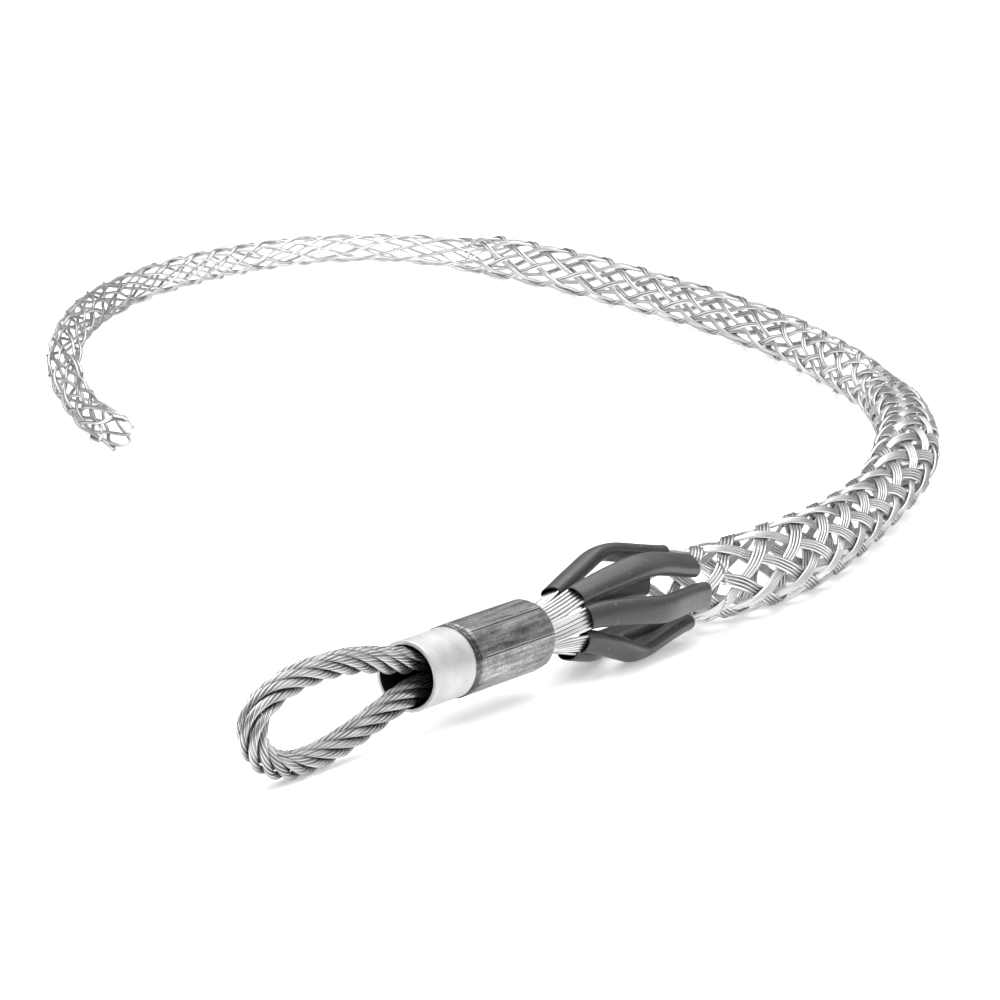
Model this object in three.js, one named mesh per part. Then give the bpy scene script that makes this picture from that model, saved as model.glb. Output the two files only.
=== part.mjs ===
import * as THREE from 'three';

// Cable pulling grip: woven wire stocking, six hose-covered wire bundles,
// crimp ferrule, eye sleeve and wire-rope eye. Millimetres, +Z up.
// The ferrule's axis runs along +Y, AXIS_HEIGHT above the floor, and the
// stocking lies on the floor in a curve.

// ---- driving dimensions -------------------------------------------------
const AXIS_HEIGHT = 20.8;

const WIRE_D = 1.25;

const FERRULE = { front: -43.2, rear: 5.0, flat: 12.45, sides: 8, boreFront: 10.1, boreRear: 7.7, step: -17.0, chamfer: 0.8, turn: 11 };
const SLEEVE = { front: -67.0, rear: -43.5, outer: 12.3, inner: 10.9 };

const ROPE = { helixR: 3.3, strandR: 1.39, coreR: 1.45, strands: 6, lay: 61.0, stepLength: 5.2 };
// centreline of the eye rope in the plane of the loop: [along the axis, above the axis]
const EYE = [
  [-20, 4.95], [-32, 4.95], [-44, 4.95], [-56, 5.05], [-67, 5.85], [-78, 8.0], [-90, 10.6], [-102, 12.3],
  [-115, 12.9], [-128, 12.4], [-139, 10.5], [-147, 7.1], [-151.4, 2.2], [-151.5, -3.6], [-147.6, -9.0],
  [-140.5, -13.4], [-131, -15.8], [-120, -16.0], [-109, -14.9], [-98, -13.0], [-88, -10.8], [-78, -8.4],
  [-67, -6.1], [-56, -5.15], [-44, -4.95], [-32, -4.95], [-20, -4.95],
];

const HOSES = 6;
const HOSE_ANGLE0 = -26; // degrees from straight up, towards +X
// where each bundle lies round the axis, in degrees: at its hose's start, at the knee and at the end
const HOSE_TURN = [[-22, -26, -30], [27, 36.5, 44.5], [73.5, 90, 93], [122, 156, 154], [172, 210, 198], [262, 270, 270]];
// half the width of a hose along its run: [along the axis, half width]
const HOSE_WIDTH = [[28, 4.35], [45, 4.95], [102, 4.85]];
const HOSE = { halfT: 3.2, wall: 0.6 };
const BUNDLE = { w: 2.5, t: 1.5, swell: 1.34 };
// radius of a bundle about the ring's centre: [along the axis, radius]
const SPREAD = [
  [-15, 5.5], [-5, 5.58], [4, 5.7], [12, 6.4], [21, 8.7], [31, 11.4], [41, 14.0], [51, 16.5], [57, 18.0], [61, 18.6], [65, 18.7],
  [70, 18.3], [77, 17.1], [85, 15.6], [94, 14.1], [103, 13.0], [108, 12.75], [113.4, 12.75],
];
const HOSE_START = [26.0, 28.0, 27.5, 27.5, 29.0, 29.0];
const HOSE_END = [101.0, 97.0, 100.0, 98.5, 99.0, 101.5];
// how far the ring's centre has come down: [along the axis, drop]
const DROP = [[-20, 0], [60, 0], [75, 0.35], [90, 1.1], [103, 2.0], [114, 3.0]];

// centreline of the stocking in plan, one point every SPINE_STEP: [x, y, height of its underside]
const SPINE_STEP = 24.38;
const SPINE = [
  [0, 59.7, 0.3], [0.6, 84.1, 0.3], [1.4, 108.5, 0.2], [1.8, 132.9, 0.2], [1.6, 157.2, 0.2], [0.2, 181.6, 0.2],
  [-3.2, 205.8, 0.4], [-8.4, 229.6, 0.7], [-14.3, 253.2, 1.1], [-20.5, 276.7, 1.7], [-27.4, 300.1, 2.3], [-34.7, 323.3, 3],
  [-43.3, 346.2, 3.5], [-53.3, 368.5, 3.9], [-64.4, 390.2, 4], [-76.5, 411.5, 3.8], [-89.6, 432, 3.5], [-103.2, 452.3, 3],
  [-117.2, 472.3, 2.4], [-131.8, 491.9, 1.9], [-147.1, 511, 1.5], [-163.7, 528.9, 1.3], [-181.5, 545.7, 1.2], [-199.6, 562.1, 1.2],
  [-217.9, 578.3, 1.2], [-236.2, 594.3, 1.2], [-254.9, 610, 1.2], [-274.4, 624.9, 1.1], [-294.4, 638.9, 0.9], [-314.6, 652.4, 0.7],
  [-335.2, 665.6, 0.5], [-356.2, 678, 0.3], [-377.7, 689.3, 0.2], [-399.5, 700.2, 0.2], [-421.7, 710.2, 0.2], [-444, 720.1, 0.3],
  [-466.4, 729.7, 0.4], [-489.3, 738.1, 0.5], [-512.6, 745.3, 0.7], [-536.5, 750.2, 0.8], [-560.8, 751.5, 1.8], [-584.7, 747.1, 2.3],
  [-606.1, 735.7, 2.1], [-622.8, 718.1, 1.6], [-633.3, 696.4, 0.9], [-637.7, 672.8, 0.5], [-638.5, 649.2, 0.4], [-637, 625.9, 0.3],
  [-632.8, 602.6, 0.4], [-626.7, 579.5, 0.7], [-618.5, 556.7, 1.3], [-608.3, 534.4, 2.3], [-597.1, 512.8, 3.6], [-585.5, 491.3, 5.1],
  [-573.1, 470.4, 6.8], [-560, 449.8, 8.3], [-547, 429.2, 9.3], [-534, 408.6, 9.6], [-520.6, 388.3, 9.1], [-506.4, 368.4, 7.9],
  [-491.3, 349.3, 6.2], [-474.7, 331.3, 4.2], [-457.1, 314.5, 2.4], [-438.7, 298.3, 1.1], [-420.1, 282.5, 0.5], [-401, 267.3, 0.3],
  [-380.5, 253.9, 0.3],
];
// outer diameter along the stocking: [arc length, diameter]
const DIAMETER = [
  [0, 29.0], [62, 29.2], [85, 29.9], [100, 30.7], [114, 30.9], [130, 30.2], [145, 29.3], [160, 28.4], [175, 27.4], [190, 26.6], [205, 25.9],
  [220, 25.5], [235, 25.0], [250, 25.0], [265, 25.9], [280, 27.1], [295, 27.8], [310, 28.3], [325, 28.3], [340, 27.7], [355, 26.8], [370, 26.2],
  [385, 26.0], [400, 25.7], [415, 25.6], [430, 25.1], [445, 24.0], [460, 22.9], [475, 22.2], [490, 21.9], [505, 22.1], [520, 22.7], [535, 23.2],
  [560, 23.5], [600, 23.5], [650, 22.9], [700, 23.0], [750, 22.6], [800, 23.1], [850, 23.8], [880, 23.2], [900, 22.9], [930, 22.6], [941, 20.6],
  [952, 18.6], [975, 17.0], [1009, 16.0], [1045, 16.3], [1080, 16.5], [1110, 17.0], [1140, 17.4], [1170, 17.5], [1200, 17.5], [1230, 17.5], [1260, 18.2],
  [1290, 18.0], [1320, 17.9], [1350, 17.7], [1380, 16.8], [1410, 16.7], [1440, 17.1], [1470, 16.3], [1500, 15.9], [1530, 15.5], [1560, 16.2], [1590, 17.1],
  [1640, 17.1],
];
// height of the centreline where the stocking comes down from the ring of bundles
const LEAD_HEIGHT = [[0, 20.8], [30, 20.2], [54, 17.85], [73, 16.9], [97, 16.0], [122, 15.35], [146, 15.1]];
const STOCKING = { start: 54.3, step1: 430, step2: 938, end: 1609 };
const WALL = 2 * WIRE_D;
const GAP = 0.3;

// ---- materials ----------------------------------------------------------
const galvanised = () => new THREE.MeshStandardMaterial({ color: 0xb9babb, roughness: 0.38, metalness: 0.9 });
const ropeSteel = () => new THREE.MeshStandardMaterial({ color: 0x9b9c9d, roughness: 0.36, metalness: 0.9 });
const darkSteel = () => new THREE.MeshStandardMaterial({ color: 0x6c6d6b, roughness: 0.42, metalness: 0.85 });
const aluminium = () => new THREE.MeshStandardMaterial({ color: 0xd9dadb, roughness: 0.35, metalness: 0.9 });
const rubber = () => new THREE.MeshStandardMaterial({ color: 0x4b4c4d, roughness: 0.5, metalness: 0.0 });

// ---- helpers ------------------------------------------------------------
const DEG = Math.PI / 180;
function table(rows, x) {
  if (x <= rows[0][0]) return rows[0][1];
  for (let i = 1; i < rows.length; i++) {
    if (x <= rows[i][0]) {
      const [x0, y0] = rows[i - 1];
      const [x1, y1] = rows[i];
      return y0 + ((y1 - y0) * (x - x0)) / (x1 - x0);
    }
  }
  return rows[rows.length - 1][1];
}

function ellipse(a, b, sides, phase = 0) {
  const points = [];
  for (let i = 0; i < sides; i++) {
    const t = ((i + phase) / sides) * 2 * Math.PI;
    points.push(new THREE.Vector2(a * Math.cos(t), b * Math.sin(t)));
  }
  return points;
}

function along(points, shape, steps) {
  const path = new THREE.CatmullRomCurve3(points, false, 'catmullrom', 0.5);
  return new THREE.ExtrudeGeometry(shape, { steps, bevelEnabled: false, extrudePath: path, curveSegments: 1 });
}

const object = new THREE.Group();
const front = new THREE.Group();
front.position.set(0, 0, AXIS_HEIGHT);
object.add(front);

function add(parent, name, geometry, material) {
  const mesh = new THREE.Mesh(geometry, material);
  mesh.name = name;
  parent.add(mesh);
  return mesh;
}

// ---- eye rope: six strands laid round a core ----------------------------
const eyeCurve = new THREE.CatmullRomCurve3(EYE.map(([y, z]) => new THREE.Vector3(0, y, z)), false, 'catmullrom', 0.5);
eyeCurve.arcLengthDivisions = 1200;
const eyeLength = eyeCurve.getLength();
const eyeSteps = Math.round(eyeLength / ROPE.stepLength);

function strandPoints(k) {
  const points = [];
  for (let i = 0; i <= eyeSteps; i++) {
    const u = i / eyeSteps;
    const p = eyeCurve.getPointAt(u);
    const t = eyeCurve.getTangentAt(u);
    const side = new THREE.Vector3(1, 0, 0);
    const normal = new THREE.Vector3().crossVectors(t, side).normalize();
    const a = (2 * Math.PI * k) / ROPE.strands - (2 * Math.PI * u * eyeLength) / ROPE.lay;
    points.push(p.addScaledVector(side, ROPE.helixR * Math.cos(a)).addScaledVector(normal, -ROPE.helixR * Math.sin(a)));
  }
  return points;
}

for (let k = 0; k < ROPE.strands; k++) {
  const section = new THREE.Shape(ellipse(ROPE.strandR, ROPE.strandR, 7));
  add(front, `eye_strand_${k + 1}`, along(strandPoints(k), section, eyeSteps), ropeSteel());
}
add(front, 'eye_core', along(EYE.map(([y, z]) => new THREE.Vector3(0, y, z)), new THREE.Shape(ellipse(ROPE.coreR, ROPE.coreR, 7)), 40), ropeSteel());

// ---- eye sleeve ---------------------------------------------------------
{
  const { front: f, rear: r, outer, inner } = SLEEVE;
  const profile = [
    [inner, f + 0.2], [inner + 0.2, f], [outer - 0.4, f], [outer, f + 0.4], [outer, r], [inner, r], [inner, f + 0.2],
  ].map(([a, b]) => new THREE.Vector2(a, b));
  add(front, 'eye_sleeve', new THREE.LatheGeometry(profile, 32), aluminium());
}

// ---- crimp ferrule: eight press flats with ridges between ----------------
{
  const { front: f, rear: r, flat, boreFront, boreRear, step, chamfer } = FERRULE;
  const round = flat / Math.cos(15 * DEG);
  const profile = [
    [boreFront, f], [round - chamfer, f], [round, f + chamfer], [round, r - chamfer], [round - chamfer, r],
    [boreRear, r], [boreRear, step], [boreFront, step], [boreFront, f],
  ].map(([a, b]) => new THREE.Vector2(a, b));
  const geometry = new THREE.LatheGeometry(profile, 24);
  const p = geometry.attributes.position;
  for (let i = 0; i < p.count; i++) {
    const x = p.getX(i);
    const z = p.getZ(i);
    const radius = Math.hypot(x, z);
    if (radius < boreFront + 0.5) continue;
    const turn = Math.round(Math.atan2(x, z) / (15 * DEG));
    if (((turn % 3) + 3) % 3 !== 0) continue;
    const k = Math.cos(15 * DEG);
    p.setX(i, x * k);
    p.setZ(i, z * k);
  }
  // the flats are turned a little about the axis, as they left the press
  add(front, 'crimp_ferrule', geometry, darkSteel()).rotation.y = FERRULE.turn * DEG;
}

// ---- bundles and hoses --------------------------------------------------
function turnAt(k, y) {
  const even = HOSE_ANGLE0 + (360 / HOSES) * k;
  const [start, knee, end] = HOSE_TURN[k];
  return table([[6, even], [29, start], [63, knee], [102, end], [113.4, (end + even) / 2]], y) * DEG;
}
function bundlePoint(k, y) {
  const a = turnAt(k, y);
  const radius = table(SPREAD, y);
  return new THREE.Vector3(radius * Math.sin(a), y, radius * Math.cos(a) - table(DROP, y));
}
// an oval ring across bundle k at y, its long side round the axis
function ovalRing(k, y, w, t, sides) {
  const a = turnAt(k, y);
  const centre = bundlePoint(k, y);
  const onward = bundlePoint(k, y + 1.5).sub(bundlePoint(k, y - 1.5)).normalize();
  const across = new THREE.Vector3(Math.cos(a), 0, -Math.sin(a));
  across.addScaledVector(onward, -across.dot(onward)).normalize();
  const out = new THREE.Vector3().crossVectors(across, onward);
  const ring = [];
  for (let i = 0; i < sides; i++) {
    const q = ((i + 0.5) / sides) * 2 * Math.PI;
    ring.push(centre.clone().addScaledVector(across, w * Math.cos(q)).addScaledVector(out, t * Math.sin(q)));
  }
  return ring;
}
// a skin through rings of points: a bar with two ends, or a wall whose last ring meets its first
function skin(rings, wall) {
  const n = rings[0].length;
  const index = [];
  for (let i = 0; i < (wall ? rings.length : rings.length - 1); i++) {
    const a = i * n;
    const b = ((i + 1) % rings.length) * n;
    for (let j = 0; j < n; j++) {
      const j2 = (j + 1) % n;
      index.push(a + j, b + j, b + j2, a + j, b + j2, a + j2);
    }
  }
  if (!wall) {
    const e = (rings.length - 1) * n;
    for (let j = 1; j < n - 1; j++) index.push(0, j, j + 1, e, e + j + 1, e + j);
  }
  const geometry = new THREE.BufferGeometry();
  geometry.setAttribute('position', new THREE.Float32BufferAttribute(rings.flat().flatMap((p) => [p.x, p.y, p.z]), 3));
  geometry.setIndex(index);
  geometry.computeVertexNormals();
  return geometry;
}
for (let k = 0; k < HOSES; k++) {
  const bar = [];
  for (let i = 0; i <= 24; i++) {
    const y = -15 + (128.4 * i) / 24;
    const size = table([[8, 1], [26, BUNDLE.swell]], y);
    bar.push(ovalRing(k, y, BUNDLE.w * size, BUNDLE.t * size, 8));
  }
  add(front, `wire_bundle_${k + 1}`, skin(bar, false), galvanised());

  const outer = [];
  const inner = [];
  for (let i = 0; i <= 14; i++) {
    const y = HOSE_START[k] + ((HOSE_END[k] - HOSE_START[k]) * i) / 14;
    const halfW = table(HOSE_WIDTH, y);
    outer.push(ovalRing(k, y, halfW, HOSE.halfT, 12));
    inner.push(ovalRing(k, y, halfW - HOSE.wall, HOSE.halfT - HOSE.wall, 12));
  }
  add(front, `hose_${k + 1}`, skin([...outer, ...inner.reverse()], true), rubber());
}

// ---- stocking: three sections of woven wire ------------------------------
const spineCurve = new THREE.CatmullRomCurve3(SPINE.map(([x, y, z]) => new THREE.Vector3(x, y, z)), false, 'catmullrom', 0.5);
const spineLength = SPINE_STEP * (SPINE.length - 1);
function spineFrame(s) {
  const t = Math.min(1, Math.max(0, s / spineLength));
  const p = spineCurve.getPoint(t);
  const d = 1e-3;
  const a = spineCurve.getPoint(Math.max(0, t - d));
  const b = spineCurve.getPoint(Math.min(1, t + d));
  const lowest = table(DIAMETER, s) / 2 + p.z;
  const height = s < 146 ? Math.max(lowest, table(LEAD_HEIGHT, s)) : lowest;
  const tangent = new THREE.Vector3(b.x - a.x, b.y - a.y, 0).normalize();
  const side = new THREE.Vector3(tangent.y, -tangent.x, 0);
  return { origin: new THREE.Vector3(p.x, p.y, height), side };
}

function sleeveSection(name, s0, s1, steps, sides, material) {
  const outer = [];
  const inner = [];
  for (let i = 0; i <= steps; i++) {
    const s = s0 + ((s1 - s0) * i) / steps;
    const radius = table(DIAMETER, s) / 2;
    outer.push(new THREE.Vector2(radius, s));
    inner.push(new THREE.Vector2(radius - WALL, s));
  }
  const profile = [...outer, ...inner.reverse(), outer[0].clone()];
  const geometry = new THREE.LatheGeometry(profile, sides);
  const p = geometry.attributes.position;
  const up = new THREE.Vector3(0, 0, 1);
  for (let i = 0; i < p.count; i++) {
    const frame = spineFrame(p.getY(i));
    const q = frame.origin.clone().addScaledVector(frame.side, p.getX(i)).addScaledVector(up, p.getZ(i));
    p.setXYZ(i, q.x, q.y, q.z);
  }
  add(object, name, geometry, material);
}
sleeveSection('stocking_lead', STOCKING.start, STOCKING.step1, 16, 14, galvanised());
sleeveSection('stocking_middle', STOCKING.step1 + GAP, STOCKING.step2, 21, 14, galvanised());
sleeveSection('stocking_tail', STOCKING.step2 + GAP, STOCKING.end, 32, 12, galvanised());

// ---- origin at the middle of the base -------------------------------------
object.updateMatrixWorld(true);
const box = new THREE.Box3().setFromObject(object, true);
object.position.set(-(box.min.x + box.max.x) / 2, -(box.min.y + box.max.y) / 2, -box.min.z);
object.updateMatrixWorld(true);

export default object;
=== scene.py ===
import math
import bpy
import numpy as np
from mathutils import Matrix, Vector


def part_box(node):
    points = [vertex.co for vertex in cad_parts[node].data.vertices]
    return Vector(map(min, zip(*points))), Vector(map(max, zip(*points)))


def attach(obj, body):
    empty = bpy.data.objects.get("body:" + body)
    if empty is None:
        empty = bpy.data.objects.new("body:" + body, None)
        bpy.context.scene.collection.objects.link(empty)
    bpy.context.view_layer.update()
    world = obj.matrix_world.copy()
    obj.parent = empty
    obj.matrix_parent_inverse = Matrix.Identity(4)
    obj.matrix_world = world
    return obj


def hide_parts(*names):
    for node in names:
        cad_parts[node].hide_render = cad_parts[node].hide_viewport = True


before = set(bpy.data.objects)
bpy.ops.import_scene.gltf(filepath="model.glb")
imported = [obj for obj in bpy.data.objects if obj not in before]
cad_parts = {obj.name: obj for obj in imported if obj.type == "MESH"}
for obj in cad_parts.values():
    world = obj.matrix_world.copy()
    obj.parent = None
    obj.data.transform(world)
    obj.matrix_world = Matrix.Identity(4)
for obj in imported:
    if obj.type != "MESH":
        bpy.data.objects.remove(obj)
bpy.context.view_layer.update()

# ---- the part's own frame, in millimetres --------------------------------
# x across, y along the ferrule, z up; the ferrule's axis is at x = 0, z = 20.8
AXIS = 20.8
_lo, _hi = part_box("eye_sleeve")
OFF = np.array([(_lo.x + _hi.x) * 500.0, _lo.y * 1000.0 + 67.0, (_lo.z + _hi.z) * 500.0 - AXIS])


def rows(p):
    return (np.asarray(p, float) + OFF) * 0.001


# ---- camera --------------------------------------------------------------
cam_data = bpy.data.cameras.new("camera")
cam = bpy.data.objects.new("camera", cam_data)
bpy.context.scene.collection.objects.link(cam)
cam_data.sensor_fit = "HORIZONTAL"
cam_data.sensor_width = 36.0
cam_data.lens = 162.0
cam_data.clip_start = 0.05
cam_data.clip_end = 60.0
cam.location = Vector(rows([840.564, -1249.752, 388.283]))
cam.rotation_euler = (math.radians(90.0 - 11.9637), 0.0, math.radians(34.1686))
bpy.context.scene.camera = cam
bpy.context.scene.view_settings.view_transform = "Standard"
bpy.context.scene.view_settings.look = "None"
bpy.context.scene.view_settings.exposure = 0.0
bpy.context.scene.view_settings.gamma = 1.0

# ---- route of the stocking -------------------------------------------------
SPINE_STEP = 24.38
SPINE = np.array([
    [0, 59.7, 0.3], [0.6, 84.1, 0.3], [1.4, 108.5, 0.2], [1.8, 132.9, 0.2], [1.6, 157.2, 0.2], [0.2, 181.6, 0.2],
    [-3.2, 205.8, 0.4], [-8.4, 229.6, 0.7], [-14.3, 253.2, 1.1], [-20.5, 276.7, 1.7], [-27.4, 300.1, 2.3], [-34.7, 323.3, 3],
    [-43.3, 346.2, 3.5], [-53.3, 368.5, 3.9], [-64.4, 390.2, 4], [-76.5, 411.5, 3.8], [-89.6, 432, 3.5], [-103.2, 452.3, 3],
    [-117.2, 472.3, 2.4], [-131.8, 491.9, 1.9], [-147.1, 511, 1.5], [-163.7, 528.9, 1.3], [-181.5, 545.7, 1.2], [-199.6, 562.1, 1.2],
    [-217.9, 578.3, 1.2], [-236.2, 594.3, 1.2], [-254.9, 610, 1.2], [-274.4, 624.9, 1.1], [-294.4, 638.9, 0.9], [-314.6, 652.4, 0.7],
    [-335.2, 665.6, 0.5], [-356.2, 678, 0.3], [-377.7, 689.3, 0.2], [-399.5, 700.2, 0.2], [-421.7, 710.2, 0.2], [-444, 720.1, 0.3],
    [-466.4, 729.7, 0.4], [-489.3, 738.1, 0.5], [-512.6, 745.3, 0.7], [-536.5, 750.2, 0.8], [-560.8, 751.5, 1.8], [-584.7, 747.1, 2.3],
    [-606.1, 735.7, 2.1], [-622.8, 718.1, 1.6], [-633.3, 696.4, 0.9], [-637.7, 672.8, 0.5], [-638.5, 649.2, 0.4], [-637, 625.9, 0.3],
    [-632.8, 602.6, 0.4], [-626.7, 579.5, 0.7], [-618.5, 556.7, 1.3], [-608.3, 534.4, 2.3], [-597.1, 512.8, 3.6], [-585.5, 491.3, 5.1],
    [-573.1, 470.4, 6.8], [-560, 449.8, 8.3], [-547, 429.2, 9.3], [-534, 408.6, 9.6], [-520.6, 388.3, 9.1], [-506.4, 368.4, 7.9],
    [-491.3, 349.3, 6.2], [-474.7, 331.3, 4.2], [-457.1, 314.5, 2.4], [-438.7, 298.3, 1.1], [-420.1, 282.5, 0.5], [-401, 267.3, 0.3],
    [-380.5, 253.9, 0.3],
])
DIAMETER = np.array([
    [0, 29.0], [62, 29.2], [85, 29.9], [100, 30.7], [114, 30.9], [130, 30.2], [145, 29.3], [160, 28.4], [175, 27.4], [190, 26.6], [205, 25.9],
    [220, 25.5], [235, 25.0], [250, 25.0], [265, 25.9], [280, 27.1], [295, 27.8], [310, 28.3], [325, 28.3], [340, 27.7], [355, 26.8], [370, 26.2],
    [385, 26.0], [400, 25.7], [415, 25.6], [430, 25.1], [445, 24.0], [460, 22.9], [475, 22.2], [490, 21.9], [505, 22.1], [520, 22.7], [535, 23.2],
    [560, 23.5], [600, 23.5], [650, 22.9], [700, 23.0], [750, 22.6], [800, 23.1], [850, 23.8], [880, 23.2], [900, 22.9], [930, 22.6], [941, 20.6],
    [952, 18.6], [975, 17.0], [1009, 16.0], [1045, 16.3], [1080, 16.5], [1110, 17.0], [1140, 17.4], [1170, 17.5], [1200, 17.5], [1230, 17.5], [1260, 18.2],
    [1290, 18.0], [1320, 17.9], [1350, 17.7], [1380, 16.8], [1410, 16.7], [1440, 17.1], [1470, 16.3], [1500, 15.9], [1530, 15.5], [1560, 16.2], [1590, 17.1],
    [1640, 17.1],
])
LEAD_HEIGHT = np.array([[0, 20.8], [30, 20.2], [54, 17.85], [73, 16.9], [97, 16.0], [122, 15.35], [146, 15.1]])
STEP1, STEP2, END = 430.0, 938.0, 1609.0
# how far apart the rings of crossings lie: [arc length, ring number]
RINGS = np.array([
    [0, 0], [38, 0], [43, 0.1], [47, 0.5], [51, 1.0], [57.5, 1.5], [64, 2], [93.5, 4], [122.2, 6], [147.1, 8], [177.4, 10], [204.3, 12],
    [233.2, 14], [261.3, 16], [289, 18], [317, 20], [345, 22], [373, 24], [401, 26], [428, 28], [452, 30], [476, 32], [501, 34], [514, 35],
    [538, 37], [566, 39], [592, 41], [625, 43], [666, 45], [708, 47], [746, 49], [779, 51], [813, 53], [846, 55], [884, 57], [915, 59],
    [939, 61], [969, 63], [996, 65], [1018, 67], [1040, 69], [1060, 71], [1082, 73], [1102, 75], [1120, 77], [1142, 79], [1171, 81], [1207, 83],
    [1255, 85], [1300, 87], [1341, 89], [1376, 91], [1410, 93], [1445, 95], [1480, 97], [1513, 99], [1545, 101], [1576, 103], [1607, 105],
])
N1, N2, N3 = 28, 61, 105
# the weave's own twist about its axis: [arc length, degrees]
TWIST = np.array([[0, 0], [50, 0], [64, -9], [93.5, -16.5], [122, -23.5], [147, -27.5], [177, -29.5], [204, -30], [1640, -30]])
SPREAD = np.array([
    [-15, 6.33], [5, 6.36], [12, 6.9], [21, 8.7], [31, 11.4], [41, 14.0], [51, 16.5], [57, 18.0], [61, 18.7], [65, 18.8],
    [70, 18.4], [77, 17.1], [85, 15.6], [94, 14.1], [103, 13.0], [108, 12.75], [116, 12.9],
])
DROP = np.array([[-20, 0], [60, 0], [75, 0.35], [90, 1.1], [103, 2.0], [114, 3.0]])
HOSE_ANGLE0 = -26.0
HOSE_TURN = [[-22, -26, -30], [27, 36.5, 44.5], [73.5, 90, 93], [122, 156, 154], [172, 210, 198], [262, 270, 270]]
WIRE_R = 0.625


def smooth_table(table, lo, hi, sigma, step=0.5):
    x = np.arange(lo - 4 * sigma, hi + 4 * sigma, step)
    y = np.interp(x, table[:, 0], table[:, 1])
    m = int(3 * sigma / step)
    k = np.exp(-0.5 * (np.arange(-m, m + 1) * step / sigma) ** 2)
    y = np.convolve(np.pad(y, m, mode="edge"), k / k.sum(), mode="valid")
    return lambda q: np.interp(q, x, y)


diameter = smooth_table(DIAMETER, 0, 1640, 4.0)
rings = smooth_table(RINGS, 0, 1607, 6.0)
spread = smooth_table(SPREAD, -20, 120, 1.7)
twist = smooth_table(TWIST, 0, 1640, 6.0)
turns = []
for _k in range(6):
    _even = HOSE_ANGLE0 + 60 * _k
    _a, _b, _c = HOSE_TURN[_k]
    turns.append(smooth_table(np.array([[-20, _even], [6, _even], [29, _a], [63, _b], [102, _c], [107, _c + 0.1 * (_even - _c)], [124, _even], [1700, _even]]), -20, 1700, 2.5))
drop = smooth_table(DROP, -20, 114, 4.0)
lead_height = smooth_table(LEAD_HEIGHT, 0, 146, 5.0)
ring_place = np.arange(0, 1609, 0.5)
ring_value = rings(ring_place)


def place_of_ring(n):
    return float(np.interp(n, ring_value[100:], ring_place[100:]))


def ease(x, a, b):
    t = np.clip((np.asarray(x, float) - a) / (b - a), 0, 1)
    return t * t * (3 - 2 * t)


def spine(s):
    """Origin and side of the stocking's centreline at arc length s."""
    s = np.atleast_1d(np.asarray(s, float))
    n = len(SPINE) - 1
    ext = np.vstack([2 * SPINE[0] - SPINE[1], SPINE, 2 * SPINE[-1] - SPINE[-2]])

    def at(q):
        t = np.clip(q / SPINE_STEP, 0, n)
        i = np.minimum(np.floor(t).astype(int), n - 1)
        u = (t - i)[:, None]
        p0, p1, p2, p3 = ext[i], ext[i + 1], ext[i + 2], ext[i + 3]
        v0, v1 = (p2 - p0) * 0.5, (p3 - p1) * 0.5
        return (2 * p1 - 2 * p2 + v0 + v1) * u ** 3 + (-3 * p1 + 3 * p2 - 2 * v0 - v1) * u ** 2 + v0 * u + p1

    p = at(np.clip(s, 0, SPINE_STEP * n))
    a, b = at(np.clip(s - 3, 0, SPINE_STEP * n - 6)), at(np.clip(s + 3, 6, SPINE_STEP * n))
    t = b - a
    t[:, 2] = 0
    t /= np.linalg.norm(t, axis=1)[:, None]
    low = diameter(s) / 2 + p[:, 2]
    z = np.where(s < 146, np.maximum(low, lead_height(s)), low)
    # in front of the weave the centreline is the ferrule's own axis
    w = ease(s, 38, 60)
    y = s + 59.7
    o = np.stack([p[:, 0] * w, np.where(s < 60, y, p[:, 1]), (AXIS - drop(y)) * (1 - w) + z * w], 1)
    over = np.clip(s - SPINE_STEP * n, 0, None)[:, None]
    o = o + t * over
    side = np.stack([t[:, 1], -t[:, 0], 0 * t[:, 0]], 1)
    w3 = w[:, None]
    side = side * w3 + np.array([1.0, 0, 0]) * (1 - w3)
    side /= np.linalg.norm(side, axis=1)[:, None]
    return o, side


UP = np.array([0.0, 0, 1])


def on_tube(s, angle, radius, shift=0.0):
    """A point at an angle (radians from the top towards the side) and a radius, moved sideways by shift."""
    o, side = spine(s)
    c, sn = np.cos(angle)[:, None], np.sin(angle)[:, None]
    out = side * sn + UP * c
    tan = side * c - UP * sn
    return o + out * np.asarray(radius)[:, None] + tan * (np.zeros(len(o)) + shift)[:, None]


# ---- meshes ---------------------------------------------------------------
def resample(p, step):
    d = np.r_[0, np.cumsum(np.linalg.norm(np.diff(p, axis=0), axis=1))]
    n = max(2, int(round(d[-1] / step)))
    q = np.linspace(0, d[-1], n + 1)
    return np.stack([np.interp(q, d, p[:, k]) for k in range(3)], 1)


def transport(p, hint=(0, 0, 1)):
    """Tangent, normal and binormal along a polyline, without twist."""
    t = np.gradient(p, axis=0)
    t /= np.linalg.norm(t, axis=1)[:, None]
    n = np.zeros_like(t)
    v = np.array(hint, float)
    v = v - t[0] * (v @ t[0])
    if np.linalg.norm(v) < 1e-3:
        v = np.array([1.0, 0, 0]) - t[0] * t[0][0]
    n[0] = v / np.linalg.norm(v)
    for i in range(1, len(t)):
        v = n[i - 1] - t[i] * (n[i - 1] @ t[i])
        n[i] = v / np.linalg.norm(v)
    return t, n, np.cross(t, n)


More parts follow.
